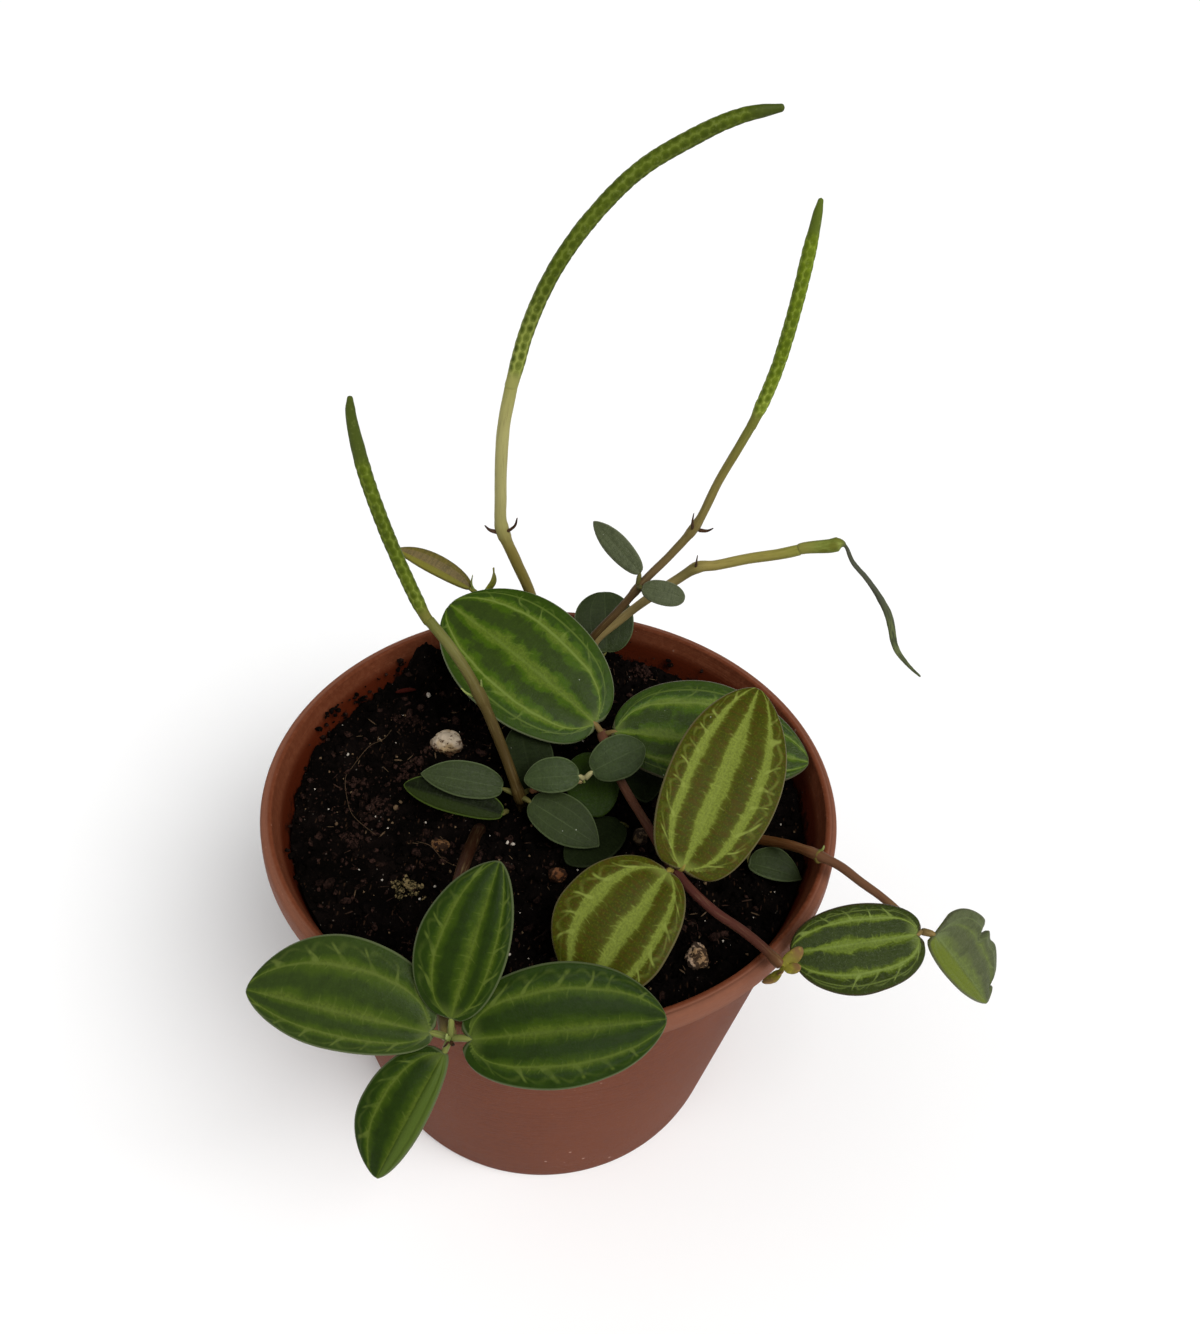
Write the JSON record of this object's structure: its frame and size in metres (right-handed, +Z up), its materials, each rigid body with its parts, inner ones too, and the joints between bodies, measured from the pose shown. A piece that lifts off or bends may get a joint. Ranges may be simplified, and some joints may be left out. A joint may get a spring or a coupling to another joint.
{
  "type": "potted peperomia",
  "caption": "Small trailing peperomia with striped oval leaves and slender flower spikes, planted in dark peat in a tapered terracotta-coloured nursery pot.",
  "frame": {"origin": "centre of the pot's flat underside", "axes": "+Z up along the pot's axis; +X to the right and +Y to the back as the picture sees it"},
  "size_m": [0.1471, 0.1407, 0.2087],
  "materials": {
    "pot": "satin terracotta-coloured plastic with fine turned lines",
    "soil": "damp dark peat with brown and pale flecks",
    "pale_grain": "matt, pitted",
    "brown_grain": "matt, rough",
    "olive_stem": "smooth, slightly glossy, brown towards the foot",
    "red_stem": "smooth, slightly glossy",
    "spike": "matt, set with small florets",
    "withered_spike": "dry, matt",
    "striped_leaf": "satin dark green with lime stripes along the veins",
    "olive_leaf": "satin olive brown with lime stripes along the veins",
    "plain_leaf": "satin grey green with a faint midrib",
    "bright_leaf": "satin bright green",
    "brown_leaf": "withering, brown with a yellow-green edge"
  },
  "bodies": {
    "root": {"pot": "pot", "soil": "soil", "grain_pumice": "pale_grain", "grain_porous": "pale_grain", "grain_brown_left": "brown_grain", "grain_orange_front": "brown_grain", "grain_tan_right": "brown_grain", "stem_left": "olive_stem", "stem_tall": "olive_stem", "stem_right": "olive_stem", "stem_withered": "olive_stem", "stem_runner": "red_stem", "stem_outer_right": "red_stem", "stem_front": "red_stem", "stem_rear_shoot": "olive_stem", "stem_side_shoot": "red_stem", "spike_left": "spike", "spike_tall": "spike", "spike_right": "spike", "spike_withered": "withered_spike", "leaf_rear_striped": "striped_leaf", "leaf_right_rear_striped": "striped_leaf", "leaf_right_olive": "olive_leaf", "leaf_lower_olive": "olive_leaf", "leaf_outer_striped": "striped_leaf", "leaf_outer_torn": "striped_leaf", "leaf_front_left": "striped_leaf", "leaf_front_right": "striped_leaf", "leaf_front_up": "striped_leaf", "leaf_front_down": "striped_leaf", "leaf_left_low": "plain_leaf", "leaf_left_upper": "plain_leaf", "leaf_centre_low": "plain_leaf", "leaf_centre_rear": "plain_leaf", "leaf_centre_bright": "bright_leaf", "leaf_on_soil": "plain_leaf", "leaf_under_right": "plain_leaf", "leaf_pair_left": "plain_leaf", "leaf_pair_right": "plain_leaf", "leaf_outer_right_small": "plain_leaf", "leaf_rear_round": "plain_leaf", "leaf_right_stem_upper": "plain_leaf", "leaf_right_stem_lower": "plain_leaf", "leaf_rear_left_brown": "brown_leaf"}
  },
  "joints": []
}
